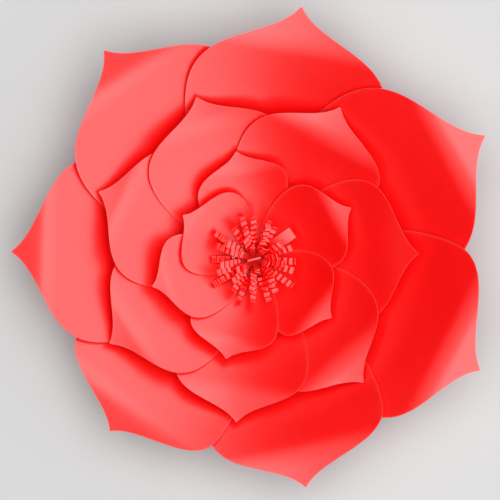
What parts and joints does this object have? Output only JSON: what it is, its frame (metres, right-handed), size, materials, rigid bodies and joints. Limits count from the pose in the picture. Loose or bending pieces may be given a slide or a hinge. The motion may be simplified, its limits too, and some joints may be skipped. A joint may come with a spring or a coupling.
{
  "type": "layered paper flower decoration",
  "caption": "Large paper flower with overlapping rings of cupped, pointed petals round a crimped fringe, on a card disc that fixes it flat to a wall or backdrop.",
  "frame": {"origin": "centre of the card disc's back face, on the flower's axis", "axes": "+Z along the flower's axis, out of its face; +Y up in the picture; +X to the right in the picture"},
  "size_m": [0.2952, 0.2994, 0.0493],
  "materials": {
    "petal_paper": "smooth red craft paper with a faint sheen",
    "fringe_paper": "red paper crimped across its strips",
    "card_base": "plain matt red card",
    "staple_wire": "smooth coated wire"
  },
  "bodies": {
    "root": {"card_disc": "card_base", "outer_petal_1": "petal_paper", "outer_petal_2": "petal_paper", "outer_petal_3": "petal_paper", "outer_petal_4": "petal_paper", "outer_petal_5": "petal_paper", "outer_petal_6": "petal_paper", "outer_petal_7": "petal_paper", "middle_petal_1": "petal_paper", "middle_petal_2": "petal_paper", "middle_petal_3": "petal_paper", "middle_petal_4": "petal_paper", "middle_petal_5": "petal_paper", "middle_petal_6": "petal_paper", "middle_petal_7": "petal_paper", "inner_petal_1": "petal_paper", "inner_petal_2": "petal_paper", "inner_petal_3": "petal_paper", "inner_petal_4": "petal_paper", "inner_petal_5": "petal_paper", "inner_petal_6": "petal_paper", "fringe_layer_1": "fringe_paper", "fringe_layer_2": "fringe_paper", "fringe_layer_3": "fringe_paper", "fringe_layer_4": "fringe_paper", "fringe_layer_5": "fringe_paper", "staple": "staple_wire"}
  },
  "joints": []
}
